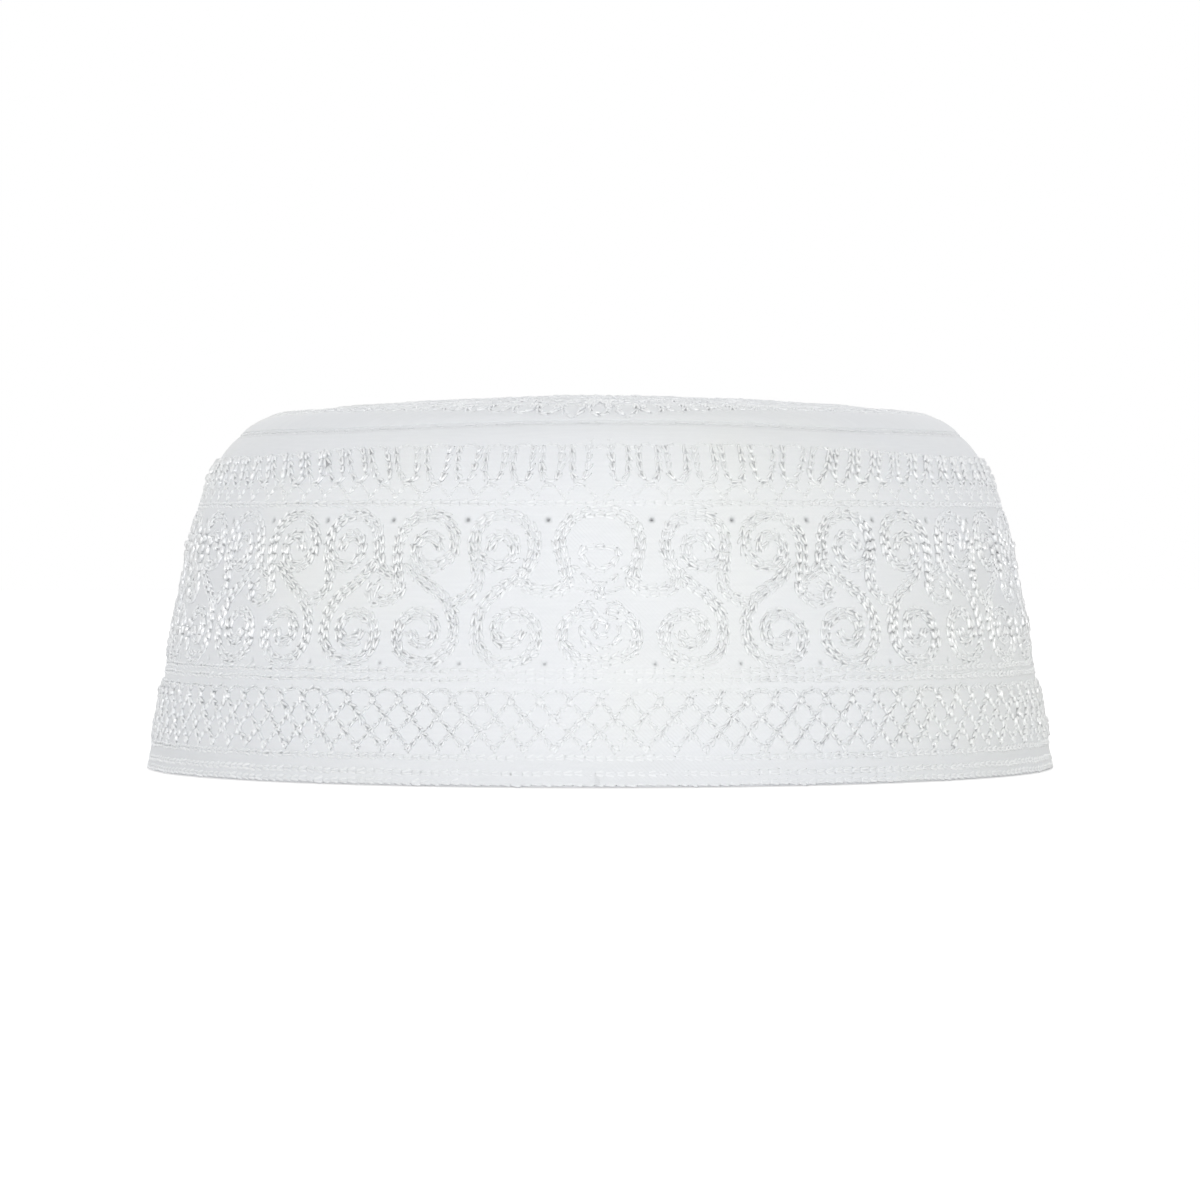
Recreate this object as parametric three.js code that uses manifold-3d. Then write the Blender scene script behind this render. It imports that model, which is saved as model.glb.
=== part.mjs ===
// A round soft cap: a leaning side band with two rows of pierced eyelets, a shallow domed crown,
// the sewn ring between them, and a rolled hem round the head opening.
// Millimetres, +Z up. The front faces -Y and the hem stands on z = 0.

import * as THREE from "three";
import { mergeVertices } from "three/addons/utils/BufferGeometryUtils.js";
import Module from "manifold-3d";

const wasm = await Module();
wasm.setup();

// Size of the head opening and of the cloth
const rimRadius = 94; // outside of the cap at its lowest edge
const sideLean = 10.75; // degrees that the side leans inwards
const clothThickness = 2;
const pieceGap = 0.3; // left open between neighbouring pieces
const facets = 72; // flat faces round the cap

// The outside line of the cap in section, from the rim upwards.
// Each section is a straight line or an arc: its length, and the degrees that it turns inwards.
const outline = [
  { name: "side", length: 44.2, turn: 0, steps: 1 },
  { name: "swell", length: 11.4, turn: 4.8, steps: 2 },
  { name: "shoulder", length: 18.4, turn: 32.4, steps: 5 },
  { name: "brow", length: 9.7, turn: 36.6, steps: 3 },
];
const domeSteps = 4; // the last arc, which levels out at the middle of the crown

// Places measured along the outside line, from the rim
const hemTop = 3;
const seamBottom = 71.4;
const seamTop = 72.8;

// The hem and the crown seam
const hemThickness = 2.6;
const hemRound = 0.7; // radius of the rolled edge
const hemRoundSteps = 2;
const seamSink = 0.3; // the seam lies this much below the cloth around it
const seamInside = 3.2; // depth of the turned-in edges, from the outside line
const seamRound = 0.4;

// Eyelets: the same angles in both rows, mirrored about the front
const eyeletRows = [
  { name: "upper", height: 51.8 },
  { name: "lower", height: 23.8 },
];
const eyeletDiameter = 1.6;
const eyeletSides = 8;
const firstEyelet = 6.8; // degrees from the middle of the front
const eyeletsEachSide = 16; // beside the one at the middle of the back

const radians = THREE.MathUtils.degToRad;

// The outline's sections with where each one starts, and the dome that reaches the axis
function layOutSections() {
  const sections = [];
  let arc = 0;
  let radius = rimRadius;
  let height = 0;
  let lean = radians(sideLean);
  const add = (name, length, turn, steps) => {
    sections.push({ name, arc, radius, height, lean, length, turn, steps });
    const end = alongSection(sections.at(-1), length);
    arc += length;
    [radius, height, lean] = [end.radius, end.height, end.lean];
  };
  for (const part of outline) {
    add(part.name, part.length, radians(part.turn), part.steps);
  }
  const levelTurn = Math.PI / 2 - lean;
  add("dome", (levelTurn * radius) / Math.sin(levelTurn), levelTurn, domeSteps);
  return sections;
}

// A point at a distance along one section, with the lean of the cloth there
function alongSection(section, distance) {
  const { radius, height, lean, length, turn } = section;
  if (turn === 0) {
    return {
      radius: radius - distance * Math.sin(lean),
      height: height + distance * Math.cos(lean),
      lean,
    };
  }
  const bend = turn / length;
  const leanThere = lean + bend * distance;
  return {
    radius: radius + (Math.cos(leanThere) - Math.cos(lean)) / bend,
    height: height + (Math.sin(leanThere) - Math.sin(lean)) / bend,
    lean: leanThere,
  };
}

const sections = layOutSections();
const outlineLength = sections.at(-1).arc + sections.at(-1).length;

// A point of the section at an arc length from the rim and a depth into the cloth
function outlinePoint(arc, depth) {
  const section = sections.findLast((each) => each.arc <= arc) ?? sections[0];
  const place = alongSection(section, arc - section.arc);
  return new THREE.Vector2(
    place.radius - depth * Math.cos(place.lean),
    place.height - depth * Math.sin(place.lean),
  );
}

// Arc lengths of the facet lines of a piece that runs between two places
function facetLines(from, to) {
  const shortest = 1; // no facet is narrower than this
  const lines = [from];
  for (const section of sections) {
    for (let step = 0; step < section.steps; step += 1) {
      const arc = section.arc + (section.length * step) / section.steps;
      if (arc > from + shortest && arc < to - shortest) {
        lines.push(arc);
      }
    }
  }
  lines.push(to);
  return lines;
}

// A closed profile turned about the axis, standing up along +Z
function turned(profile) {
  const geometry = new THREE.LatheGeometry(profile, facets);
  geometry.rotateX(Math.PI / 2);
  return geometry;
}

// A three.js geometry as a solid for cutting
function toSolid(geometry) {
  const bare = geometry.clone();
  bare.deleteAttribute("normal");
  bare.deleteAttribute("uv");
  const joined = mergeVertices(bare);
  return new wasm.Manifold(
    new wasm.Mesh({
      numProp: 3,
      vertProperties: Float32Array.from(joined.getAttribute("position").array),
      triVerts: Uint32Array.from(joined.getIndex().array),
    }),
  );
}

// A cut solid as a three.js geometry
function fromSolid(solid) {
  const mesh = solid.getMesh();
  const geometry = new THREE.BufferGeometry();
  geometry.setAttribute("position", new THREE.BufferAttribute(mesh.vertProperties, 3));
  geometry.setIndex(new THREE.BufferAttribute(mesh.triVerts, 1));
  geometry.computeVertexNormals();
  return geometry;
}

// Angles of the eyelets from the middle of the front, towards +X
function eyeletAngles() {
  const spacing = (180 - firstEyelet) / eyeletsEachSide;
  const angles = [180];
  for (let place = 0; place < eyeletsEachSide; place += 1) {
    const angle = firstEyelet + place * spacing;
    angles.push(angle, -angle);
  }
  return angles;
}

// One round cutter, square to the cloth at an angle and an arc length
function eyeletCutter(angle, arc) {
  const reach = 2 * clothThickness;
  const cutter = new THREE.CylinderGeometry(
    eyeletDiameter / 2,
    eyeletDiameter / 2,
    2 * reach,
    eyeletSides,
  );
  const outer = outlinePoint(arc, 0);
  const inner = outlinePoint(arc, 1);
  const lift = Math.atan2(outer.y - inner.y, outer.x - inner.x);
  cutter.rotateZ(lift - Math.PI / 2);
  cutter.translate(outer.x, outer.y, 0);
  cutter.rotateX(Math.PI / 2);
  cutter.rotateZ(radians(angle) - Math.PI / 2);
  return cutter;
}

// The wall between the hem and the crown seam, pierced by the eyelets
function makeSideBand() {
  const lines = facetLines(hemTop + pieceGap, seamBottom - pieceGap);
  const profile = lines.map((arc) => outlinePoint(arc, 0));
  profile.push(...lines.toReversed().map((arc) => outlinePoint(arc, clothThickness)));
  profile.push(profile[0].clone());
  let wall = toSolid(turned(profile));
  for (const row of eyeletRows) {
    for (const angle of eyeletAngles()) {
      wall = wall.subtract(toSolid(eyeletCutter(angle, row.height)));
    }
  }
  return fromSolid(wall);
}

// The domed top: along its underside from the axis to the seam, and back over the outside
function makeCrown() {
  const lines = facetLines(seamTop + pieceGap, outlineLength);
  const outside = lines.map((arc) => outlinePoint(arc, 0));
  const underside = lines.map((arc) => outlinePoint(arc, clothThickness));
  outside.at(-1).x = 0;
  underside.at(-1).x = 0;
  return turned([...underside.toReversed(), ...outside]);
}

// The sewn ring: sunk between the two cloths, its inner corners rounded
function makeCrownSeam() {
  const profile = [
    outlinePoint(seamBottom, seamSink),
    outlinePoint(seamTop, seamSink),
    outlinePoint(seamTop, seamInside - seamRound),
    outlinePoint(seamTop - seamRound, seamInside),
    outlinePoint(seamBottom + seamRound, seamInside),
    outlinePoint(seamBottom, seamInside - seamRound),
  ];
  profile.push(profile[0].clone());
  return turned(profile);
}

// The rolled hem: flat underneath, with rounded lower edges
function makeHem() {
  const profile = [];
  const roundEdge = (radius, startTurn) => {
    for (let step = 0; step <= hemRoundSteps; step += 1) {
      const turn = startTurn + (step / hemRoundSteps) * (Math.PI / 2);
      profile.push(
        new THREE.Vector2(radius + hemRound * Math.cos(turn), hemRound + hemRound * Math.sin(turn)),
      );
    }
  };
  roundEdge(rimRadius - hemThickness + hemRound, Math.PI);
  roundEdge(outlinePoint(hemRound, 0).x - hemRound, 1.5 * Math.PI);
  profile.push(outlinePoint(hemTop, 0), outlinePoint(hemTop, hemThickness));
  profile.push(profile[0].clone());
  return turned(profile);
}

// White cotton, a little duller where it is not worked with thread
function cottonMaterial(color, roughness) {
  return new THREE.MeshStandardMaterial({ color, roughness, metalness: 0 });
}

const workedCotton = cottonMaterial(0xeceef0, 0.75);
const plainCotton = cottonMaterial(0xe3e6e9, 0.9);
const hemCotton = cottonMaterial(0xe5e6e8, 0.8);

const pieces = [
  { name: "side_band", geometry: makeSideBand(), material: workedCotton },
  { name: "crown", geometry: makeCrown(), material: workedCotton },
  { name: "crown_seam", geometry: makeCrownSeam(), material: plainCotton },
  { name: "hem", geometry: makeHem(), material: hemCotton },
];

const cap = new THREE.Group();
cap.name = "cap";
for (const { name, geometry, material } of pieces) {
  const mesh = new THREE.Mesh(geometry, material);
  mesh.name = name;
  cap.add(mesh);
}

export default cap;
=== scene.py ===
import math
import bpy
import numpy as np
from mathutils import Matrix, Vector, kdtree


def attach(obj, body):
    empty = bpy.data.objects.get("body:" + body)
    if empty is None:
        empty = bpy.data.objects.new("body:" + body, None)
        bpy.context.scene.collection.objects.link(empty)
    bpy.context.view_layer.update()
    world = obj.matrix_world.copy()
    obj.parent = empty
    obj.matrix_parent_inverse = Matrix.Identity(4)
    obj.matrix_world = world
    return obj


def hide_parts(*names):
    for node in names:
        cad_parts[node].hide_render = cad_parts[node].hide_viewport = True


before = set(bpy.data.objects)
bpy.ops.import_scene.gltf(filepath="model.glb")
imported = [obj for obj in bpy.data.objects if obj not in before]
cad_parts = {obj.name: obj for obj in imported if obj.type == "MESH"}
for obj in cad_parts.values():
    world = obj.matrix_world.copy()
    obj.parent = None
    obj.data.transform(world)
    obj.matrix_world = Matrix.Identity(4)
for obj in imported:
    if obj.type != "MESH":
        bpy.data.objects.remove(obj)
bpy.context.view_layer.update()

mm = 0.001
randomSeed = 7

# The cap's section, in millimetres: lengths along the outside from the rim, and degrees turned inwards
capShape = {
    "rimRadius": 94.0,
    "sideLean": 10.75,
    "sections": [(44.2, 0.0), (11.4, 4.8), (18.4, 32.4), (9.7, 36.6)],
    "clothThickness": 2.0,
    "hemTop": 3.0,
    "seamBottom": 71.4,
    "seamTop": 72.8,
    "clothToHem": 0.05,
    "clothToSeam": 0.25,
}

# Eyelets stand at the same angles in both rows, mirrored about the front
eyelets = {
    "firstAngle": 6.8,
    "eachSide": 16,
    "rows": (23.8, 51.8),
    "radii": (0.1, 0.22),
    "funnel": 0.45,
    "funnelReach": 0.8,
    # the lower row's share of the painted shade round the holes
    "lowerShade": 0.6,
}
eyeletPitch = (180 - eyelets["firstAngle"]) / eyelets["eachSide"]
eyeletAngles = sorted(
    side * (eyelets["firstAngle"] + place * eyeletPitch)
    for side in (-1, 1)
    for place in range(eyelets["eachSide"])
) + [180.0]


# Where each section of the outline starts, ending with the dome that levels out at the axis
def layOutSections():
    rows = []
    arc, radius, height = 0.0, capShape["rimRadius"], 0.0
    lean = math.radians(capShape["sideLean"])
    for length, turn in capShape["sections"]:
        turn = math.radians(turn)
        rows.append((arc, radius, height, lean, length, turn))
        arc += length
        if turn == 0:
            radius -= length * math.sin(lean)
            height += length * math.cos(lean)
        else:
            bend = turn / length
            radius += (math.cos(lean + turn) - math.cos(lean)) / bend
            height += (math.sin(lean + turn) - math.sin(lean)) / bend
            lean += turn
    turn = math.pi / 2 - lean
    rows.append((arc, radius, height, lean, turn * radius / math.sin(turn), turn))
    return rows


sections = layOutSections()
outlineLength = sections[-1][0] + sections[-1][4]


# Radius, height and lean of the cloth at distances along the outline
def capSection(arc):
    arc = np.asarray(arc, float)
    radius, height, lean = (np.zeros_like(arc) for _ in range(3))
    for start, startRadius, startHeight, startLean, length, turn in sections:
        here = (arc >= start) | (start == 0)
        along = arc[here] - start
        bend = turn / length
        lean[here] = startLean + bend * along
        if turn == 0:
            radius[here] = startRadius - along * math.sin(startLean)
            height[here] = startHeight + along * math.cos(startLean)
        else:
            radius[here] = startRadius + (np.cos(lean[here]) - math.cos(startLean)) / bend
            height[here] = startHeight + (np.sin(lean[here]) - math.sin(startLean)) / bend
    return radius, height, lean


# Points and outward directions at angles from the front and distances along the outline, in metres
def onCap(angle, arc, lift=0.0):
    angle = np.radians(np.asarray(angle, float))
    radius, height, lean = capSection(arc)
    outward = np.stack([np.cos(lean) * np.sin(angle), -np.cos(lean) * np.cos(angle), np.sin(lean)], -1)
    points = np.stack([radius * np.sin(angle), -radius * np.cos(angle), height], -1)
    return (points + outward * np.asarray(lift, float)[..., None]) * mm, outward


def fromFront(angle):
    return np.abs((angle + 180) % 360 - 180)


# From 0 to 1 between two angles from the front, without corners
def easing(angle, start, end):
    t = np.clip((fromFront(angle) - start) / (end - start), 0, 1)
    return t * t * (3 - 2 * t)


# How far the soft cloth stands from the outline, in mm: slow waves round the cap, the settled crown,
# the groove along the crown seam and the puckers that the seam draws up on both sides.
# A wave is (times round the cap, slant, start, share). The puckers are shifted by a wave of (times
# round the cap, shift) and vary in depth by one of (times round the cap, start, share).
drape = {
    "inset": 0.3, "waves": 0.12,
    "waveParts": [(5, 0.08, 0.6, 0.45), (13, -0.17, 2.1, 0.3), (29, 0.31, 4.0, 0.25)],
    "settle": 0.5, "settleAt": 85.0, "settleReach": 9.0, "domeDrop": 0.25, "domeDropOver": 12,
    "groove": 0.38, "grooveSides": 0.16, "grooveFades": (20.0, 60.0), "grooveAt": 72.1, "grooveReach": 1.4,
    "grooveRise": 1.95, "riseWithin": (6.0, 48.0), "follows": (68.6, 71.0, 73.4, 79.0),
    "pucker": 0.07, "puckers": 83, "puckerFrom": 1.6, "puckerReach": 2.6, "puckerSlant": 0.75,
    "puckerShift": (7, 1.3), "puckerVaries": (11, 1.0, 0.4),
}


# How much higher the seam lies towards the front
def seamRise(angle):
    return drape["grooveRise"] * (1 - easing(angle, *drape["riseWithin"]))


# The cloth on both sides of the seam moves up with it
def besideSeam(angle, arc):
    return arc + seamRise(angle) * np.interp(arc, drape["follows"], (0, 1, 1, 0))


def drapeAt(angle, arc):
    turn = np.radians(angle)
    waves = sum(share * np.sin(times * turn + slant * arc + start)
                for times, slant, start, share in drape["waveParts"])
    inward = arc - drape["settleAt"]
    settled = drape["settle"] * np.exp(-(inward / drape["settleReach"]) ** 2)
    settled = settled + drape["domeDrop"] * np.clip(inward / drape["domeDropOver"], 0, 1)
    fromSeam = arc - drape["grooveAt"] - seamRise(angle)
    sideward = easing(angle, *drape["grooveFades"])
    depth = drape["groove"] + (drape["grooveSides"] - drape["groove"]) * sideward
    groove = depth * np.exp(-(fromSeam / drape["grooveReach"]) ** 2)
    times, shift = drape["puckerShift"]
    shifted = shift * np.sin(times * turn)
    drawn = np.sin(drape["puckers"] * turn - drape["puckerSlant"] * fromSeam + shifted)
    times, start, share = drape["puckerVaries"]
    drawn *= 1 - share + share * np.sin(times * turn + start)
    away = (np.abs(fromSeam) - drape["puckerFrom"]) / drape["puckerReach"]
    drawn *= drape["pucker"] * np.exp(-away ** 2)
    return drape["waves"] * waves + drawn - drape["inset"] - settled - groove


# A smooth curve from one point to the next, given the points before and after them
def curveBetween(before, start, end, after, t):
    return 0.5 * (2 * start + (end - before) * t
                  + (2 * before - 5 * start + 4 * end - after) * t ** 2
                  + (3 * start - before - 3 * end + after) * t ** 3)


# Embroidery lines are arrays of (angle in degrees, distance along the outline in mm)
def smoothThrough(points, spacing=0.35):
    points = np.asarray(points, float)
    padded = np.vstack([2 * points[0] - points[1], points, 2 * points[-1] - points[-2]])
    pieces = []
    for before, start, end, after in zip(padded, padded[1:], padded[2:], padded[3:]):
        count = max(2, int(np.hypot(*(end - start)) / spacing))
        t = np.arange(count)[:, None] / count
        pieces.append(curveBetween(before, start, end, after, t))
    return np.vstack(pieces + [points[-1:]])


# A line beside another, a distance to its left, measured on the cloth
def beside(line, distance):
    radius = capSection(line[:, 1])[0]
    perDegree = np.radians(1) * radius
    step = np.gradient(line, axis=0)
    step[:, 0] *= perDegree
    step /= np.maximum(np.hypot(step[:, 0], step[:, 1]), 1e-9)[:, None]
    moved = line.copy()
    moved[:, 0] -= distance * step[:, 1] / perDegree
    moved[:, 1] += distance * step[:, 0]
    return moved


def double(line, spread):
    return [beside(line, spread / 2), beside(line, -spread / 2)]


def ring(arc, points=720):
    angle = np.arange(points) * 360.0 / points
    return np.stack([angle, np.full(points, arc)], -1)


def mirrored(line):
    return line * np.array([-1.0, 1.0])


# A smooth curve through values given at 0, 1, 2 and so on
def between(values, at):
    values = np.concatenate([[2 * values[0] - values[1]], values, [2 * values[-1] - values[-2]]])
    start = np.minimum(at.astype(int), len(values) - 4)
    return curveBetween(*(values[start + k] for k in range(4)), at - start)


# One side of an upper or lower scroll: a tail or arm that runs into a spiral
def scrollPath(shape, lead):
    quarters = np.linspace(0, len(shape["radii"]) - 1, (len(shape["radii"]) - 1) * 16)
    radius = between(np.array(shape["radii"]), quarters)
    turn = np.radians(shape["startTurn"] - 90 * quarters)
    spiral = np.stack([
        shape["centre"][0] + radius * np.cos(turn),
        shape["centre"][1] + shape["squash"] * radius * np.sin(turn)], -1)
    approach = smoothThrough(np.vstack([lead, spiral[:1]]))
    return np.vstack([approach[:-1], spiral])


# The scroll band repeats over two eyelets. Its lines are in mm from the eyelet in the middle of a unit
# and along the outline from the rim. Radii are those of a spiral at each quarter turn, and the right
# scrolls mirror the left ones about mirrorAt.
scrollBand = {
    "spread": 1.3,
    "referenceRadius": 86.9,
    "upper": {"centre": (-7.5, 46.6), "radii": (7.0, 6.6, 5.2, 4.2, 2.9, 2.2, 1.7), "squash": 0.94,
              "startTurn": 180.0, "mirrorAt": -0.25},
    "leftTail": [(-13.4, 38.4), (-14.2, 42.5)],
    "rightTail": [(18.8, 39.8), (17.0, 41.2), (15.1, 42.3), (14.4, 44.2)],
    "frontTail": [(20.5, 39.8), (19.8, 38.6), (17.8, 38.0), (15.2, 37.9), (12.9, 38.5), (12.0, 40.1),
                  (12.5, 42.0), (13.5, 44.2)],
    "lower": {"centre": (-7.85, 29.2), "radii": (6.5, 5.7, 5.3, 4.5, 2.4, 1.7, 1.8), "squash": 0.93,
              "startTurn": 0.0, "mirrorAt": 0.85},
    "lowerArm": [(-11.4, 42.8), (-9.4, 40.7), (-6.4, 38.4), (-3.8, 36.4), (-2.2, 34.0), (-1.45, 31.6)],
    "stem": [(1.9, 44.5), (2.6, 42.0), (2.9, 40.0), (2.2, 38.0), (0.6, 36.6), (-1.6, 35.6)],
    "curl": [(-13.2, 38.0), (-14.7, 36.4), (-17.2, 35.8), (-19.5, 36.5), (-19.7, 38.2), (-18.1, 38.9)],
}


def flipped(line, about):
    return np.stack([2 * about - line[:, 0], line[:, 1]], -1)


# The lines of one unit; the one beside the front, and the one at the back, differ
def scrollUnit(atFront, atBack):
    band = scrollBand
    left = scrollPath(band["upper"], band["leftTail"])
    about = band["upper"]["mirrorAt"]
    tail = np.array(band["frontTail" if atFront else "rightTail"])
    right = flipped(scrollPath(band["upper"], flipped(tail, about)), about)
    lower = scrollPath(band["lower"], band["lowerArm"])
    upperPart = [left, right, smoothThrough(band["stem"])]
    if not atBack:
        upperPart.append(smoothThrough(band["curl"]))
    return upperPart, [lower, flipped(lower, band["lower"]["mirrorAt"])]


def ontoBand(line, middleAngle):
    perMm = 1 / (np.radians(1) * scrollBand["referenceRadius"])
    return np.stack([middleAngle + line[:, 0] * perMm, line[:, 1]], -1)


def scrollLines():
    upperLines, lowerLines = [], []
    units = eyelets["eachSide"] // 2
    for place in range(units):
        middle = -(eyelets["firstAngle"] + eyeletPitch * (2 * place + 1))
        parts = scrollUnit(place == 0, place == units - 1)
        for target, paths in zip((upperLines, lowerLines), parts):
            for path in paths:
                onLeft = ontoBand(path, middle)
                for line in (onLeft, mirrored(onLeft)):
                    target += double(line, scrollBand["spread"])
    return upperLines, lowerLines


# The middle of the front, where the two mirrored halves meet
frontMotif = {
    "arch": [(-6.2, 39.4), (-6.5, 41.4), (-7.3, 44.2), (-7.9, 47.0), (-7.3, 49.8), (-5.2, 52.2),
             (-2.7, 53.2), (0.0, 53.5)],
    "shield": [(0.0, 46.5), (2.0, 46.3), (3.6, 45.3), (3.0, 43.7), (1.5, 42.5), (0.0, 41.6)],
    "arm": [(-5.0, 42.2), (-3.6, 40.8), (-2.0, 39.9), (-0.5, 39.1)],
    "underArm": [(-3.8, 38.3), (-1.9, 37.6), (-0.5, 37.2)],
    "leaf": {"halfWidth": 0.5, "halfHeight": 1.45, "middle": 37.8},
    "smallArch": [(-4.4, 33.9), (-3.9, 35.1), (-2.8, 35.7), (-1.7, 35.1), (-1.2, 33.9)],
    "bud": {"halfWidth": 1.15, "halfHeight": 1.5, "middle": 30.6},
    "cup": [(-3.5, 30.3), (-3.3, 28.6), (-1.9, 27.3), (0.0, 26.8)],
    "lowerRing": [(-2.4, 33.3), (-4.8, 33.0), (-6.6, 31.2), (-7.0, 28.8), (-6.0, 26.2), (-3.4, 24.7),
                  (0.0, 24.3)],
}


def ellipse(shape, points=96):
    turn = np.arange(points) * 2 * np.pi / points
    return np.stack([shape["halfWidth"] * np.cos(turn),
                     shape["middle"] + shape["halfHeight"] * np.sin(turn)], -1)


# A path to the middle line and back along its mirror image
def throughMiddle(points):
    points = np.array(points)
    return smoothThrough(np.vstack([points, points[-2::-1] * (-1, 1)]))


def frontLines():
    motif = frontMotif
    lines = double(ontoBand(throughMiddle(motif["arch"]), 0.0), scrollBand["spread"])
    lines += double(ontoBand(throughMiddle(motif["lowerRing"]), 0.0), scrollBand["spread"])
    lines.append(ontoBand(throughMiddle(motif["cup"]), 0.0))
    fine = []
    for path, target in (("arm", lines), ("underArm", fine), ("smallArch", fine)):
        line = ontoBand(smoothThrough(motif[path]), 0.0)
        target += [line, mirrored(line)]
    rings = [ontoBand(throughMiddle(motif["shield"]), 0.0), ontoBand(ellipse(motif["bud"]), 0.0)]
    fineRings = [ontoBand(ellipse(motif["leaf"]), 0.0)]
    return lines, rings, fine, fineRings


# The row of petals on the shoulder, each open at the top. Outlines run up one side from the foot:
# distance along the cap's outline, and half the petal's width there
petals = {
    "firstAngle": 2.75, "lastFromBack": 1.95, "eachSide": 45, "firstWidth": 0.86, "middle": 64.0,
    "drop": 1.9, "dropFrom": (20.0, 60.0),
    "lean": 2.7, "leanFrom": (18.0, 31.0), "leanEnds": (120.0, 175.0),
    "outline": [(59.2, 0.0), (59.5, 0.65), (60.2, 1.2), (61.2, 1.58), (62.6, 1.78), (64.5, 1.86),
                (66.7, 1.86)],
}
petalPitch = (180 - petals["firstAngle"] - petals["lastFromBack"]) / (petals["eachSide"] - 1)
petalFoot = petals["outline"][0][0]
petalTop = petals["outline"][-1][0]


def petalShape(outline):
    side = np.array([(halfWidth, arc) for arc, halfWidth in outline])
    return smoothThrough(np.vstack([side[:0:-1] * (-1, 1), side]))


def aroundAt(line, angle, arcForScale):
    perMm = 1 / (np.radians(1) * float(capSection([arcForScale])[0][0]))
    return np.stack([angle + line[:, 0] * perMm, line[:, 1]], -1)


# Towards the sides the row leans back and its upper edge comes down
def easePetals(line):
    angle, arc = line[:, 0], line[:, 1]
    share = (arc - petalFoot) / (petalTop - petalFoot)
    back = petals["lean"] * easing(angle, *petals["leanFrom"]) * (1 - easing(angle, *petals["leanEnds"]))
    drop = petals["drop"] * easing(angle, *petals["dropFrom"])
    side = np.sign((angle + 180) % 360 - 180)
    return np.stack([angle + side * back * share, arc - drop * np.clip(share, 0, 1.2)], -1)


def petalLines():
    shape = petalShape(petals["outline"])
    narrow = shape * (petals["firstWidth"], 1.0)
    lines = []
    for place in range(petals["eachSide"]):
        angle = -(petals["firstAngle"] + place * petalPitch)
        line = easePetals(aroundAt(shape if place else narrow, angle, petals["middle"]))
        lines += [line, mirrored(line)]
    return lines


# The thin row over the petals rises above each of them
petalEdge = {"arc": 67.45, "wave": 0.5}


def petalEdgeLine():
    line = ring(petalEdge["arc"], 1440)
    turn = 2 * np.pi * (fromFront(line[:, 0]) - petals["firstAngle"]) / petalPitch
    line[:, 1] += petalEdge["wave"] * np.cos(turn)
    return easePetals(line)


# Low arches under the petals, with their feet between them, and the bud over the middle of the front
fillers = {
    "foot": 56.5, "shoulder": 58.1, "peak": 58.9, "reach": 0.47,
    "bud": [(-1.2, 67.0), (-1.25, 68.9)],
}


def fillerLines():
    lines = []
    reach = petalPitch * fillers["reach"]
    for place in range(petals["eachSide"]):
        angle = -(petals["firstAngle"] + place * petalPitch)
        arch = [(angle - reach, fillers["foot"]), (angle - 0.5 * reach, fillers["shoulder"]),
                (angle, fillers["peak"]), (angle + 0.5 * reach, fillers["shoulder"]),
                (angle + reach, fillers["foot"])]
        line = smoothThrough(arch, 0.2)
        lines += [line, mirrored(line)]
    bud = smoothThrough(fillers["bud"])
    return lines + [bud, mirrored(bud)]


# The trellis above the hem
trellis = {"columns": 100, "topRow": 16.5, "rowHeight": 3.06, "bottom": 7.4, "archTop": 18.5,
           "strongEvery": 4, "strongFirst": -21.6}


def trellisLines():
    pitch = 360.0 / trellis["columns"]
    drop = (trellis["topRow"] - trellis["bottom"]) / trellis["rowHeight"] * pitch / 2
    fine, plain, strong = [], [], []
    for column in range(trellis["columns"]):
        angle = column * pitch
        for lean in (1, -1):
            ends = np.array([[angle, trellis["topRow"]], [angle + lean * drop, trellis["bottom"]]])
            t = np.linspace(0, 1, 40)[:, None]
            line = ends[0] + (ends[1] - ends[0]) * t
            signed = (angle + 180) % 360 - 180
            offset = (signed - lean * trellis["strongFirst"]) / pitch
            inHalf = signed * lean < 0 or signed == 0
            if inHalf and round(offset) % trellis["strongEvery"] == 0:
                strong.append(line)
            elif inHalf:
                plain.append(line)
            else:
                fine.append(line)
        turn = np.radians(np.linspace(180, 0, 14))
        archHeight = trellis["archTop"] - trellis["topRow"]
        fine.append(np.stack([angle + pitch / 2 + pitch / 2 * np.cos(turn),
                              trellis["topRow"] + archHeight * np.sin(turn)], -1))
    return fine, plain, strong


# Straight rows of chain stitch round the cap: the distance along the outline, and the stitch
borderRows = [(55.1, "row"), (22.3, "row"), (20.6, "row"), (5.7, "row")]
hemRows = [(2.75, "hem"), (0.9, "hem")]

# The crown, from its edge inwards; its top repeats the side band's motifs
crown = {
    "firstAngle": 4.5, "lastFromBack": 2.08, "eachSide": 43, "petalMiddle": 77.0, "petalFoot": 75.4,
    "middlePetal": 1.0, "middleLift": 1.3,
    "petalOutline": [(75.4, 0.0), (75.62, 0.7), (76.4, 1.35), (77.6, 1.72), (79.4, 1.78), (81.6, 1.75)],
    "rise": 4.4, "riseRound": 3.0, "riseOver": 12.5, "riseEnds": 104.0,
    "rings": [(83.4, "row"), (85.0, "row"), (103.0, "row"), (104.6, "row"), (118.5, "row"),
              (140.5, "fine")],
    "scrollUnits": 12, "scrollMiddle": 94.0, "scrollScale": 0.92,
    "trellisColumns": 48, "trellisTop": 106.4, "trellisBottom": 116.8, "trellisRows": 3,
    "rosettePetals": 12, "rosetteOuter": 121.0, "rosetteInner": 138.5,
    "heartPetals": 8, "heartOuter": 142.0, "heartInner": 147.6, "petalFills": 0.8, "petalRound": 0.7,
}


# Beside the front the crown's embroidery begins further in
def easeCrown(line):
    away = np.hypot(fromFront(line[:, 0]), crown["riseRound"]) - crown["riseRound"]
    rise = crown["rise"] * (1 - np.exp(-away / crown["riseOver"]))
    share = (crown["riseEnds"] - line[:, 1]) / (crown["riseEnds"] - crown["petalFoot"])
    return np.stack([line[:, 0], line[:, 1] + rise * np.clip(share, 0, 1)], -1)


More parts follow.
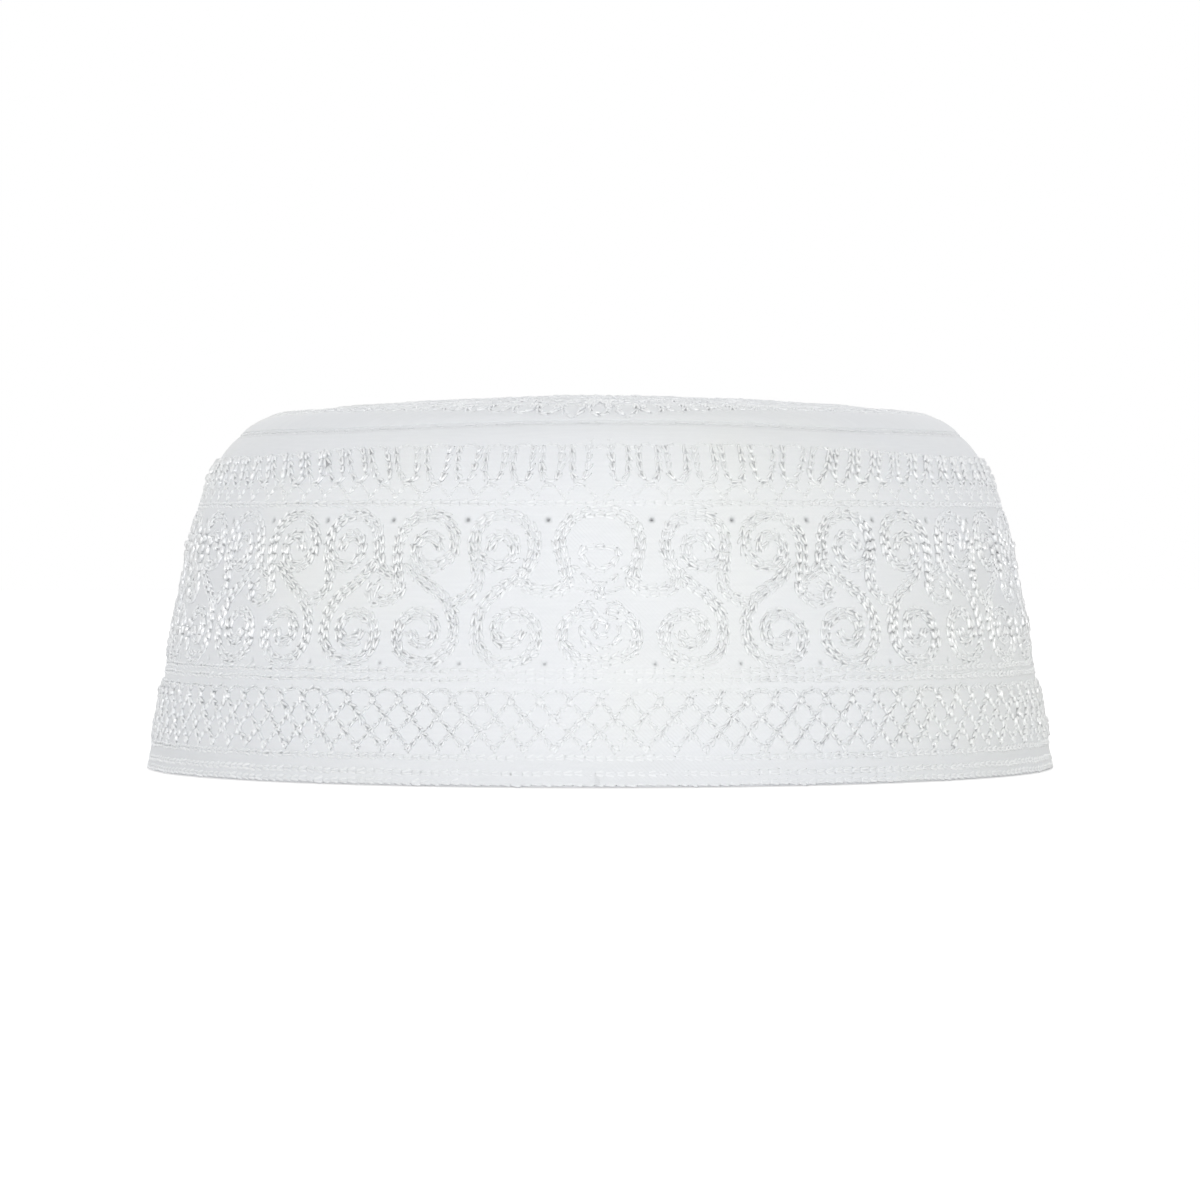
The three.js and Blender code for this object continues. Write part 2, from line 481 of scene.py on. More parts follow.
def crownPetalLines():
    shape = petalShape(crown["petalOutline"])
    pitch = (180 - crown["firstAngle"] - crown["lastFromBack"]) / (crown["eachSide"] - 1)
    middlePetal = shape * (crown["middlePetal"], 1.0) + (0.0, crown["middleLift"])
    lines = [easeCrown(aroundAt(middlePetal, 0.0, crown["petalMiddle"]))]
    for place in range(crown["eachSide"]):
        angle = -(crown["firstAngle"] + place * pitch)
        line = easeCrown(aroundAt(shape, angle, crown["petalMiddle"]))
        lines += [line, mirrored(line)]
    return lines


def crownScrollLines():
    lines = []
    upper = scrollPath(scrollBand["upper"], scrollBand["leftTail"])
    upper = (upper - (0, scrollBand["upper"]["centre"][1])) * crown["scrollScale"]
    upper[:, 1] += crown["scrollMiddle"]
    for unit in range(crown["scrollUnits"]):
        angle = (unit + 0.5) * 360 / crown["scrollUnits"]
        for line in (upper, upper * (-1, 1)):
            placed = easeCrown(aroundAt(line, angle, crown["scrollMiddle"]))
            lines += double(placed, scrollBand["spread"])
    return lines


# The trellis inside the scrolls, then two rosettes
def crownMiddleLines():
    lines = []
    pitch = 360.0 / crown["trellisColumns"]
    height = crown["trellisBottom"] - crown["trellisTop"]
    t = np.linspace(0, 1, 30)
    for column in range(crown["trellisColumns"]):
        for lean in (1, -1):
            angle = column * pitch + lean * t * pitch * crown["trellisRows"] / 2
            lines.append(np.stack([angle, crown["trellisTop"] + height * t], -1))
    t = np.linspace(0, 1, 60)
    side = np.where(t < 0.5, -1, 1) * np.sin(2 * np.pi * np.minimum(t, 1 - t)) ** crown["petalRound"]
    for kind in ("rosette", "heart"):
        half = 180.0 / crown[kind + "Petals"]
        inner = crown[kind + "Inner"]
        depth = inner + (crown[kind + "Outer"] - inner) * np.sin(np.pi * t)
        for place in range(crown[kind + "Petals"]):
            lines.append(np.stack([place * 2 * half + half * crown["petalFills"] * side, depth], -1))
    return lines


print("charting the embroidery")
upperScrolls, lowerScrolls = scrollLines()
frontOpen, frontRings, frontFine, frontFineRings = frontLines()
fineTrellis, plainTrellis, strongTrellis = trellisLines()
crownPetals = crownPetalLines()
crownScrolls = crownScrollLines()
crownMiddle = crownMiddleLines()


# A stitcher's hand: lines wander a little to either side, in waves of (length in mm, share)
hand = {"wander": 0.13, "waves": [(19.0, 0.6), (7.0, 0.4)]}


def lengthAlong(line):
    perDegree = np.radians(1) * capSection(line[:, 1])[0]
    steps = np.hypot(np.diff(line[:, 0]) * perDegree[1:], np.diff(line[:, 1]))
    return np.concatenate([[0.0], np.cumsum(steps)])


def byHand(line, along, closes, draw):
    length = max(along[-1], 1e-6)
    offset = 0.0
    for wave, share in hand["waves"]:
        turns = max(1.0, round(length / wave)) if closes else length / wave
        offset = offset + share * np.sin(2 * np.pi * (turns * along / length + draw.random()))
    return beside(line, hand["wander"] * offset)


def keepAttribute(mesh, name, values, kind="FLOAT"):
    field = "vector" if kind == "FLOAT_VECTOR" else "value"
    kept = mesh.attributes.new(name, kind, "POINT")
    kept.data.foreach_set(field, np.asarray(values, np.float32).ravel())


# Stitches are pressed flat in front and stand taller at the sides, those of lines across the cap lie
# lower than those that run up it, and some lie lower than others. A part of the cloth is (where it
# begins along the outline, loft in front, loft at the sides), and a wave is (length in mm, share).
# The loft also sets how much painted highlight, painted shade and painted shadow the thread gets
loft = {
    "parts": [
        (0.0, 0.28, 1.35),
        (24.0, 0.42, 1.25),
        (58.0, 0.6, 1.35),
        (71.0, 0.35, 0.4),
        (75.0, 0.8, 0.4),
    ],
    "between": (7.0, 42.0), "upright": 0.85,
    "varies": 0.35, "waves": [(23.0, 0.55), (6.0, 0.45)], "bedded": 0.035,
}


def loftAlong(line, along, draw):
    starts, inFront, atSides = (np.array(column) for column in zip(*loft["parts"]))
    part = np.clip(np.searchsorted(starts, line[:, 1]) - 1, 0, len(starts) - 1)
    sideward = easing(line[:, 0], *loft["between"])
    pressed = inFront[part] + (atSides[part] - inFront[part]) * sideward
    climb = np.abs(np.gradient(line[:, 1])) / np.maximum(np.gradient(along), 1e-6)
    pressed *= 1 + loft["upright"] * (np.clip(climb, 0, 1) ** 2 - 0.5)
    waves = 0.0
    for wave, share in loft["waves"]:
        waves = waves + share * np.sin(2 * np.pi * (along / wave + draw.random()))
    return pressed * (1 + loft["varies"] * waves)


# A mesh of edges for Geometry Nodes to follow, with the outward direction and the loft at each point
def lineMesh(name, openLines, closedLines, seed):
    draw = np.random.default_rng(randomSeed + seed)
    points, outward, lofts, edges = [], [], [], []
    count = 0
    for lines, closes in ((openLines, False), (closedLines, True)):
        for line in lines:
            along = lengthAlong(line)
            line = byHand(line, along, closes, draw)
            lift = drapeAt(line[:, 0], line[:, 1]) - loft["bedded"]
            place, direction = onCap(line[:, 0], line[:, 1], lift)
            points.append(place)
            outward.append(direction)
            lofts.append(loftAlong(line, along, draw))
            last = len(line) if closes else len(line) - 1
            edges += [(count + k, count + (k + 1) % len(line)) for k in range(last)]
            count += len(line)
    mesh = bpy.data.meshes.new(name)
    mesh.from_pydata(np.vstack(points).tolist(), edges, [])
    keepAttribute(mesh, "outward", np.vstack(outward), "FLOAT_VECTOR")
    keepAttribute(mesh, "loft", np.concatenate(lofts))
    piece = bpy.data.objects.new(name, mesh)
    bpy.context.scene.collection.objects.link(piece)
    return piece


# One link of chain stitch: two slanted strands, flat below, that part as they go forward. A strand has
# a section of (across, up) at stations of (along, fullness). Rise, kept for the painted shade, is low
# where a strand goes down beside another.
linkShape = {
    "section": [(1.0, 0.0), (0.55, 0.74), (0.0, 1.0), (-0.55, 0.74), (-1.0, 0.0)],
    "stations": [(-0.26, 0.95), (0.2, 1.0)],
    "endSink": 0.6, "endRise": 0.35, "outerRise": 0.3, "innerRise": 0.1,
    "opening": [(-0.3, 0.0), (0.1, -0.45), (0.45, 0.0), (0.1, 0.45)],
}


def linkMesh(name, size):
    verts, faces, uvs, heights = [], [], [], []
    section = linkShape["section"]
    low = -size["sink"]
    end = low * linkShape["endSink"]
    for side in (1, -1):
        tilt = math.radians(size["tilt"]) * side
        base = len(verts)
        strand = [(-0.5 * size["length"], 0.0, end)]
        heights.append(linkShape["endRise"])
        for along, full in linkShape["stations"]:
            strand += [(along * size["length"], across * size["width"] / 2 * full,
                        low + (size["height"] + size["sink"]) * up * full) for across, up in section]
            for across, up in section:
                foot = linkShape["outerRise" if across * side > 0 else "innerRise"]
                heights.append(1.0 if up else foot)
        strand.append((0.5 * size["length"], 0.0, end))
        heights.append(linkShape["endRise"])
        for x, y, z in strand:
            turnedX = x * math.cos(tilt) - y * math.sin(tilt)
            turnedY = x * math.sin(tilt) + y * math.cos(tilt) + side * size["spread"] / 2
            verts.append((turnedX * mm, turnedY * mm, z * mm))
            uvs.append((x / size["length"] + 0.5, y / size["width"] + 0.5))
        count = len(section)
        tail, first, second, tip = base, base + 1, base + 1 + count, base + 1 + 2 * count
        for k in range(count):
            n = (k + 1) % count
            faces.append((tail, first + n, first + k))
            faces.append((first + k, first + n, second + n, second + k))
            faces.append((second + k, second + n, tip))
    pits = [0.0] * len(verts)
    if size["opening"]:
        # a quad in the opening of the loop, painted dark as the shadow inside it
        base = len(verts)
        pits += [1.0] * 4
        for along, across in linkShape["opening"]:
            corner = (along * size["length"], across * size["spread"], size["opening"])
            verts.append(tuple(value * mm for value in corner))
            uvs.append((along + 0.5, 0.5))
            heights.append(1.0)
        faces.append(tuple(range(base, base + 4)))
    mesh = bpy.data.meshes.new(name)
    mesh.from_pydata(verts, [], faces)
    layer = mesh.uv_layers.new(name="strand")
    for loop in mesh.loops:
        layer.data[loop.index].uv = uvs[loop.vertex_index]
    # how much painted shade each point gets beside the strands, kept as rise
    heights = [1 - size["shade"] * (1 - height) for height in heights]
    keepAttribute(mesh, "rise", heights)
    keepAttribute(mesh, "pit", pits)
    mesh.update()
    link = bpy.data.objects.new(name, mesh)
    bpy.context.scene.collection.objects.link(link)
    link.hide_render = True
    return link


def addSocket(tree, name, kind, default=None):
    socket = tree.interface.new_socket(name, in_out="INPUT", socket_type=kind)
    if default is not None:
        socket.default_value = default


# Joins or sets a node's inputs
def fillInputs(tree, node, inputs):
    for name, value in inputs.items():
        if isinstance(value, bpy.types.NodeSocket):
            tree.links.new(value, node.inputs[name])
        else:
            node.inputs[name].default_value = value


def addNode(tree, kind, inputs=None, **settings):
    node = tree.nodes.new(kind)
    for name, value in settings.items():
        setattr(node, name, value)
    fillInputs(tree, node, inputs or {})
    return node


def addMath(tree, operation, *values, clamp=False):
    node = addNode(tree, "ShaderNodeMath", dict(enumerate(values)), operation=operation, use_clamp=clamp)
    return node.outputs[0]


# Sets modifier inputs by their sockets' identifiers
def addModifier(piece, tree, **values):
    modifier = piece.modifiers.new(tree.name, "NODES")
    modifier.node_group = tree
    for item in tree.interface.items_tree:
        if item.item_type == "SOCKET" and item.in_out == "INPUT" and item.name in values:
            modifier[item.identifier] = values[item.name]


# The tree that lays links of chain stitch along lines on the cap
def makeChainTree():
    tree = bpy.data.node_groups.new("chainStitch", "GeometryNodeTree")
    tree.interface.new_socket("Geometry", in_out="OUTPUT", socket_type="NodeSocketGeometry")
    addSocket(tree, "Geometry", "NodeSocketGeometry")
    addSocket(tree, "Link", "NodeSocketObject")
    addSocket(tree, "Pitch", "NodeSocketFloat", 1.3 * mm)
    addSocket(tree, "Wander", "NodeSocketFloat", 0.15)
    addSocket(tree, "Unevenness", "NodeSocketFloat", 0.12)
    addSocket(tree, "Seed", "NodeSocketInt", randomSeed)
    addSocket(tree, "Thread", "NodeSocketMaterial")
    start = addNode(tree, "NodeGroupInput").outputs
    curve = addNode(tree, "GeometryNodeMeshToCurve", {"Mesh": start["Geometry"]})
    spaced = addNode(tree, "GeometryNodeResampleCurve",
                     {"Curve": curve.outputs["Curve"], "Length": start["Pitch"]}, mode="LENGTH")

    # links stand on the cloth and point along the line
    outward = addNode(tree, "GeometryNodeInputNamedAttribute",
                      {"Name": "outward"}, data_type="FLOAT_VECTOR")
    standing = addNode(tree, "FunctionNodeAlignRotationToVector",
                       {"Vector": outward.outputs["Attribute"]}, axis="Z")
    tangent = addNode(tree, "GeometryNodeInputTangent")
    pointing = addNode(tree, "FunctionNodeAlignRotationToVector",
                       {"Rotation": standing.outputs["Rotation"], "Vector": tangent.outputs["Tangent"]},
                       axis="X", pivot_axis="Z")

    # each turns a little on the cloth
    leastTurn = addMath(tree, "MULTIPLY", start["Wander"], -1.0)
    swing = addNode(tree, "FunctionNodeRandomValue",
                    {"Seed": start["Seed"], 2: leastTurn, 3: start["Wander"]}, data_type="FLOAT")
    turn = addNode(tree, "FunctionNodeAxisAngleToRotation", {"Axis": (0, 0, 1), "Angle": swing.outputs[1]})
    turned = addNode(tree, "FunctionNodeRotateRotation",
                     {"Rotation": pointing.outputs["Rotation"], "Rotate By": turn.outputs["Rotation"]},
                     rotation_space="LOCAL")

    # is a little larger or smaller, and as tall as the loft there
    least = addMath(tree, "SUBTRACT", 1.0, start["Unevenness"])
    most = addMath(tree, "ADD", 1.0, start["Unevenness"])
    uneven = addNode(tree, "FunctionNodeRandomValue",
                     {0: least, 1: most, "Seed": start["Seed"]}, data_type="FLOAT_VECTOR")
    loftHere = addNode(tree, "GeometryNodeInputNamedAttribute", {"Name": "loft"}, data_type="FLOAT")
    upwards = addNode(tree, "ShaderNodeCombineXYZ",
                      {"X": 1.0, "Y": 1.0, "Z": loftHere.outputs["Attribute"]})
    scale = addNode(tree, "ShaderNodeVectorMath",
                    {0: uneven.outputs[0], 1: upwards.outputs["Vector"]}, operation="MULTIPLY")

    link = addNode(tree, "GeometryNodeObjectInfo",
                   {"As Instance": True, "Object": start["Link"]}, transform_space="ORIGINAL")
    place = addNode(tree, "GeometryNodeInstanceOnPoints", {
        "Points": spaced.outputs["Curve"], "Instance": link.outputs["Geometry"],
        "Rotation": turned.outputs["Rotation"], "Scale": scale.outputs["Vector"]})
    tone = addNode(tree, "FunctionNodeRandomValue", {"Seed": start["Seed"]}, data_type="FLOAT")
    toned = addNode(tree, "GeometryNodeStoreNamedAttribute",
                    {"Name": "tone", "Geometry": place.outputs["Instances"], "Value": tone.outputs[1]},
                    data_type="FLOAT", domain="INSTANCE")
    realized = addNode(tree, "GeometryNodeRealizeInstances", {"Geometry": toned.outputs["Geometry"]})
    smooth = addNode(tree, "GeometryNodeSetShadeSmooth", {"Geometry": realized.outputs["Geometry"]})
    finished = addNode(tree, "GeometryNodeSetMaterial",
                       {"Geometry": smooth.outputs["Geometry"], "Material": start["Thread"]})
    addNode(tree, "NodeGroupOutput", {"Geometry": finished.outputs["Geometry"]})
    return tree


# Turns what the nodes make into a plain mesh
def settle(piece):
    evaluated = piece.evaluated_get(bpy.context.evaluated_depsgraph_get())
    mesh = bpy.data.meshes.new_from_object(evaluated)
    piece.modifiers.clear()
    piece.data = mesh
    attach(piece, "root")
    mesh.calc_loop_triangles()
    print(f"  {piece.name}: {len(mesh.loop_triangles)} triangles")


# A shader node group with number sockets, and its input node's outputs
def newGroup(name, inputs, outputs):
    tree = bpy.data.node_groups.new(name, "ShaderNodeTree")
    for socket, value in inputs.items():
        addSocket(tree, socket, "NodeSocketFloat", value)
    for socket in outputs:
        tree.interface.new_socket(socket, in_out="OUTPUT", socket_type="NodeSocketFloat")
    return tree, addNode(tree, "NodeGroupInput").outputs


# Plain weave on the cloth's own map in mm: height, and the slubs of uneven threads
def makeWeaveGroup():
    tree, start = newGroup("plainWeave", {"Thread Pitch": 0.4}, ("Height", "Slub"))
    chart = addNode(tree, "ShaderNodeUVMap", uv_map="clothMm").outputs[0]
    split = addNode(tree, "ShaderNodeSeparateXYZ", {0: chart})
    waves = []
    for axis in (0, 1):
        threads = addMath(tree, "DIVIDE", split.outputs[axis], start["Thread Pitch"])
        waves.append(addMath(tree, "SINE", addMath(tree, "MULTIPLY", threads, math.pi)))
    stretch = addNode(tree, "ShaderNodeMapping", {"Scale": (0.15, 1.6, 1.0), "Vector": chart})
    slub = addNode(tree, "ShaderNodeTexNoise", {"Scale": 1.0, "Detail": 3.0, "Vector": stretch.outputs[0]})
    crossing = addMath(tree, "MULTIPLY", *waves)
    addNode(tree, "NodeGroupOutput", {"Height": crossing, "Slub": slub.outputs["Fac"]})
    return tree


# Faint marks of handling and washing, in object space
def makeHandlingGroup():
    tree, start = newGroup("handling", {"Patch Size": 30.0}, ("Mask",))
    place = addNode(tree, "ShaderNodeTexCoord")
    cloud = addNode(tree, "ShaderNodeTexNoise", {
        "Detail": 4.0, "Roughness": 0.55, "Vector": place.outputs["Object"], "Scale": start["Patch Size"]})
    addNode(tree, "NodeGroupOutput", {"Mask": cloud.outputs["Fac"]})
    return tree


# Strand grain along each stitch, from its own map
def makeStrandGroup():
    tree, start = newGroup("strandTwist", {"Strands": 4.0, "Twist": 1.5}, ("Height",))
    chart = addNode(tree, "ShaderNodeUVMap", uv_map="strand")
    split = addNode(tree, "ShaderNodeSeparateXYZ", {0: chart.outputs[0]})
    across = addMath(tree, "MULTIPLY", split.outputs[1], start["Strands"])
    along = addMath(tree, "MULTIPLY_ADD", split.outputs[0], start["Twist"], across)
    wave = addMath(tree, "SINE", addMath(tree, "MULTIPLY", along, 2 * math.pi))
    addNode(tree, "NodeGroupOutput", {"Height": wave})
    return tree


weaveGroup = makeWeaveGroup()
handlingGroup = makeHandlingGroup()
strandGroup = makeStrandGroup()


def newMaterial(name):
    material = bpy.data.materials.new(name)
    material.use_nodes = True
    tree = material.node_tree
    return material, tree, tree.nodes["Principled BSDF"]


def opaque(colour):
    return (*colour, 1)


def readAttribute(tree, name):
    return addNode(tree, "ShaderNodeAttribute", attribute_name=name).outputs["Fac"]


def rampBetween(tree, factor, low, high):
    ramp = addNode(tree, "ShaderNodeValToRGB", {"Fac": factor})
    ramp.color_ramp.elements[0].position = low
    ramp.color_ramp.elements[1].position = high
    return ramp.outputs["Color"]


def mixColours(tree, factor, first, second, blend="MIX"):
    mix = addNode(tree, "ShaderNodeMix", {"Factor": factor, "A": first, "B": second},
                  data_type="RGBA", blend_type=blend)
    return mix.outputs["Result"]


def handlingMask(tree, patchSize):
    group = addNode(tree, "ShaderNodeGroup", {"Patch Size": patchSize}, node_tree=handlingGroup)
    return group.outputs["Mask"]


# A few patches have yellowed slightly
def addPatches(tree, colour, finish):
    patches = rampBetween(tree, handlingMask(tree, finish["patchSize"]), *finish["patchFrom"])
    return mixColours(tree, patches, colour, opaque(finish["patchTint"]), "MULTIPLY")


# The third colour is the grey that the painted shade and the greying near the rim mix towards
clothFinish = {
    "clean": (0.797, 0.812, 0.831), "shaded": (0.75, 0.766, 0.788), "shadeAndRimGrey": (0.5, 0.51, 0.52),
    "handlingSize": 26.0, "handlingShare": 0.5, "toneFrom": (0.3, 0.7),
    "patchSize": 17.0, "patchFrom": (0.47, 0.66), "patchTint": (1.0, 0.998, 0.97),
    "roughness": 0.85, "sheen": 0.2, "sheenRoughness": 0.5, "specular": 0.3,
    "threadPitch": 0.42, "weaveDepth": 0.03, "bump": 0.5,
}


def makeCloth(name, finish):
    material, tree, shader = newMaterial(name)
    weave = addNode(tree, "ShaderNodeGroup", {"Thread Pitch": finish["threadPitch"]}, node_tree=weaveGroup)
    share = finish["handlingShare"]
    handled = addMath(tree, "MULTIPLY", handlingMask(tree, finish["handlingSize"]), share)
    tone = addMath(tree, "MULTIPLY_ADD", weave.outputs["Slub"], 1 - share, handled)
    spread = rampBetween(tree, tone, *finish["toneFrom"])
    plain = mixColours(tree, spread, opaque(finish["shaded"]), opaque(finish["clean"]))
    # painted shade down in the eyelets and in the seam's groove, and a greying near the rim
    shade = readAttribute(tree, "shade")
    colour = mixColours(tree, shade, addPatches(tree, plain, finish), opaque(finish["shadeAndRimGrey"]))
    bump = addNode(tree, "ShaderNodeBump", {
        "Strength": finish["bump"], "Distance": finish["weaveDepth"] * mm,
        "Height": weave.outputs["Height"]})
    fillInputs(tree, shader, {
        "Base Color": colour, "Roughness": finish["roughness"], "Sheen Weight": finish["sheen"],
        "Sheen Roughness": finish["sheenRoughness"], "Specular IOR Level": finish["specular"],
        "Normal": bump.outputs["Normal"]})
    return material


# bright is the painted highlight on standing stitches; crevice is the painted shade between strands and
# the painted shadow in the loops' openings
threadFinish = {
    "bright": (0.932, 0.943, 0.956), "dull": (0.79, 0.807, 0.827), "crevice": (0.45, 0.46, 0.47),
    "creviceVaries": 1.5, "handlingSize": 40.0, "handlingShare": 0.4,
    "patchSize": 17.0, "patchFrom": (0.47, 0.66), "patchTint": (1.0, 0.998, 0.97),
    "openWithLoft": 0.56, "openFrom": 0.84, "openFull": 1.1, "sheenFlat": 0.28, "sheenWithLoft": 0.42,
    "roughness": 0.42, "ior": 2.1, "anisotropy": 0.7, "anisotropyTurn": 0.25,
    "strandDepth": 0.04, "bump": 0.4,
}


def makeThread(name, finish):
    material, tree, shader = newMaterial(name)
    tone, lofty = readAttribute(tree, "tone"), readAttribute(tree, "loft")
    rise, pit = readAttribute(tree, "rise"), readAttribute(tree, "pit")
    share = finish["handlingShare"]
    handled = addMath(tree, "MULTIPLY", handlingMask(tree, finish["handlingSize"]), share)
    average = addMath(tree, "MULTIPLY_ADD", tone, 1 - share, handled)
    # painted highlight: the thread is brighter where the stitches stand up
    lit = addMath(tree, "MULTIPLY", average, lofty, clamp=True)
    plain = mixColours(tree, lit, opaque(finish["dull"]), opaque(finish["bright"]))
    # painted shade down between the strands, more in some links than in others
    varies = finish["creviceVaries"]
    strength = addMath(tree, "MULTIPLY_ADD", tone, varies, 1.0 - varies, clamp=True)
    fall = addMath(tree, "SUBTRACT", 1.0, rise)
    varied = addMath(tree, "MULTIPLY", fall, strength)
    paintedShadeBeside = addMath(tree, "MULTIPLY", varied, lofty)
    # painted shadow in the openings, in some links only, in more of them where the stitches stand up
    openness = addMath(tree, "MULTIPLY_ADD", lofty, finish["openWithLoft"], tone)
    chosen = addNode(tree, "ShaderNodeMapRange", {
        "From Min": finish["openFrom"], "From Max": finish["openFull"], "Value": openness})
    opening = addMath(tree, "MULTIPLY", pit, chosen.outputs["Result"])
    dark = addMath(tree, "MAXIMUM", paintedShadeBeside, opening)
    colour = mixColours(tree, dark, addPatches(tree, plain, finish), opaque(finish["crevice"]))
    # stitches rubbed flat have lost some of their sheen, which lies across each strand
    gloss = addMath(tree, "MULTIPLY_ADD", lofty, finish["sheenWithLoft"], finish["sheenFlat"])
    lie = addNode(tree, "ShaderNodeTangent", direction_type="UV_MAP", uv_map="strand")
    strand = addNode(tree, "ShaderNodeGroup", node_tree=strandGroup)
    bump = addNode(tree, "ShaderNodeBump", {
        "Strength": finish["bump"], "Distance": finish["strandDepth"] * mm,
        "Height": strand.outputs["Height"]})
    fillInputs(tree, shader, {
        "Base Color": colour, "Roughness": finish["roughness"], "IOR": finish["ior"],
        "Specular IOR Level": gloss, "Anisotropic": finish["anisotropy"],
        "Anisotropic Rotation": finish["anisotropyTurn"], "Tangent": lie.outputs["Tangent"],
        "Normal": bump.outputs["Normal"]})
    return material


cotton = makeCloth("whiteCotton", clothFinish)
thread = makeThread("whiteThread", threadFinish)

# Stitches: sizes in mm; spread is between the two strands of a link, shade how much painted shade lies
# beside them, turn and uneven how much the links differ
stitchKinds = {
    "chain": {"length": 2.35, "width": 0.62, "height": 0.42, "sink": 0.04, "tilt": 14.0, "spread": 0.66,
              "opening": 0.07, "shade": 0.85, "pitch": 1.9, "turn": 0.22, "uneven": 0.2},
    "small": {"length": 2.1, "width": 0.6, "height": 0.48, "sink": 0.04, "tilt": 14.0, "spread": 0.6,
              "opening": 0.06, "shade": 1.0, "pitch": 1.7, "turn": 0.22, "uneven": 0.2},
    "fine": {"length": 1.75, "width": 0.52, "height": 0.42, "sink": 0.04, "tilt": 14.0, "spread": 0.54,
             "opening": 0.06, "shade": 0.95, "pitch": 1.45, "turn": 0.22, "uneven": 0.2},
    "row": {"length": 2.35, "width": 0.62, "height": 0.34, "sink": 0.04, "tilt": 13.0, "spread": 0.64,
            "opening": 0.03, "shade": 0.7, "pitch": 1.9, "turn": 0.2, "uneven": 0.2},
    "hem": {"length": 2.5, "width": 0.64, "height": 0.22, "sink": 0.04, "tilt": 11.0, "spread": 0.64,
            "opening": 0.0, "shade": 0.45, "pitch": 2.0, "turn": 0.12, "uneven": 0.16},
    "faint": {"length": 1.6, "width": 0.42, "height": 0.2, "sink": 0.04, "tilt": 13.0, "spread": 0.4,
              "opening": 0.0, "shade": 0.7, "pitch": 1.35, "turn": 0.2, "uneven": 0.2},
    "seam": {"length": 2.2, "width": 0.4, "height": 0.3, "sink": 0.06, "tilt": 3.0, "spread": 0.75,
             "opening": 0.0, "shade": 0.7, "pitch": 3.2, "turn": 0.14, "uneven": 0.4},
}
links = {kind: linkMesh(kind + "Link", size) for kind, size in stitchKinds.items()}
chainTree = makeChainTree()


def stitch(name, kind, openLines, closedLines=(), seed=0):
    piece = lineMesh(name, openLines, closedLines, seed)
    size = stitchKinds[kind]
    addModifier(piece, chainTree, Link=links[kind], Pitch=size["pitch"] * mm, Wander=size["turn"],
                Unevenness=size["uneven"], Seed=randomSeed + seed, Thread=thread)
    settle(piece)


def ringsOf(rows, kind):
    return [ring(arc) for arc, rowKind in rows if rowKind == kind]


print("stitching the side band")
stitch("upper_scrolls", "chain", upperScrolls, seed=1)
stitch("lower_scrolls", "chain", lowerScrolls, seed=2)
stitch("front_motif", "chain", frontOpen, frontRings, seed=3)
stitch("front_details", "fine", frontFine, frontFineRings, seed=14)
stitch("trellis_fine", "fine", fineTrellis, seed=4)
stitch("trellis_plain", "small", plainTrellis, seed=15)
stitch("trellis_strong", "chain", strongTrellis, seed=5)
stitch("shoulder_petals", "chain", petalLines(), seed=6)
stitch("petal_fillers", "faint", fillerLines(), [petalEdgeLine()], seed=7)
stitch("border_rows", "row", [], ringsOf(borderRows, "row"), seed=8)
stitch("hem_rows", "hem", [], ringsOf(hemRows, "hem"), seed=9)
seamLine = ring(drape["grooveAt"])
seamLine[:, 1] += seamRise(seamLine[:, 0])
stitch("seam_stitches", "seam", [], [seamLine], seed=10)
print("stitching the crown")
stitch("crown_petals", "chain", crownPetals, seed=11)
crownRows = [easeCrown(line) for line in ringsOf(crown["rings"], "row")]
stitch("crown_rows", "row", [], crownRows, seed=16)
stitch("crown_scrolls", "chain", crownScrolls, seed=12)
stitch("crown_middle", "fine", crownMiddle, ringsOf(crown["rings"], "fine"), seed=13)
for link in links.values():
    bpy.data.objects.remove(link)


# How far the stitches pull the cloth down, over what distance, and how far it puffs up between them
pucker = {"depth": 0.02, "reach": 0.9, "puff": 0.02}


def stitchTree():
    every = [ring(arc) for arc, kind in borderRows + hemRows] + [petalEdgeLine()]
    every += [easeCrown(ring(arc)) for arc, kind in crown["rings"]]
    every += upperScrolls + lowerScrolls + frontOpen + frontRings + frontFine + frontFineRings
    every += fineTrellis + plainTrellis + strongTrellis
    every += petalLines() + fillerLines() + crownPetals + crownScrolls + crownMiddle
    points = np.vstack([onCap(line[::2, 0], line[::2, 1], np.zeros(len(line[::2])))[0] for line in every])
    tree = kdtree.KDTree(len(points))
    for index, point in enumerate(points):
        tree.insert(point, index)
    tree.balance()
    return tree


nearestStitch = stitchTree()


def puckerAt(angle, arc):
    flat = onCap(angle, arc, np.zeros(len(angle)))[0]
    away = np.array([nearestStitch.find(point)[2] for point in flat]) / mm
    pull = np.exp(-((away / pucker["reach"]) ** 2))
    return pucker["puff"] - (pucker["depth"] + pucker["puff"]) * pull + drapeAt(angle, arc)


# The place of a grid point in its list; the columns run on round the cap
def gridIndex(row, column, across):
    return row * across + column % across


def gridFace(row, following, column, across):
    corners = ((row, column), (row, column + 1), (following, column + 1), (following, column))
    return tuple(gridIndex(*corner, across) for corner in corners)


# The grid points round the block that an eyelet takes the place of
def blockRim(row, column, across):
    steps = [(-blockHalf, k) for k in range(-blockHalf, blockHalf)]
    steps += [(k, blockHalf) for k in range(-blockHalf, blockHalf)]
    steps += [(blockHalf, k) for k in range(blockHalf, -blockHalf, -1)]
    steps += [(k, -blockHalf) for k in range(blockHalf, -blockHalf, -1)]
    return [gridIndex(row + up, column + along, across) for up, along in steps]


# The side wall's two grids: columns from one eyelet to the next and in the wider space at the front,
# rows between the two rows of eyelets, below and above them, and rings round each eyelet
outerGrid = {"columns": 16, "frontColumns": 20, "between": 28, "below": 21, "above": 20, "rings": 5}
innerGrid = {"columns": 8, "frontColumns": 10, "between": 14, "below": 10, "above": 10, "rings": 3}
blockHalf = 2
ringSpacing = 0.75


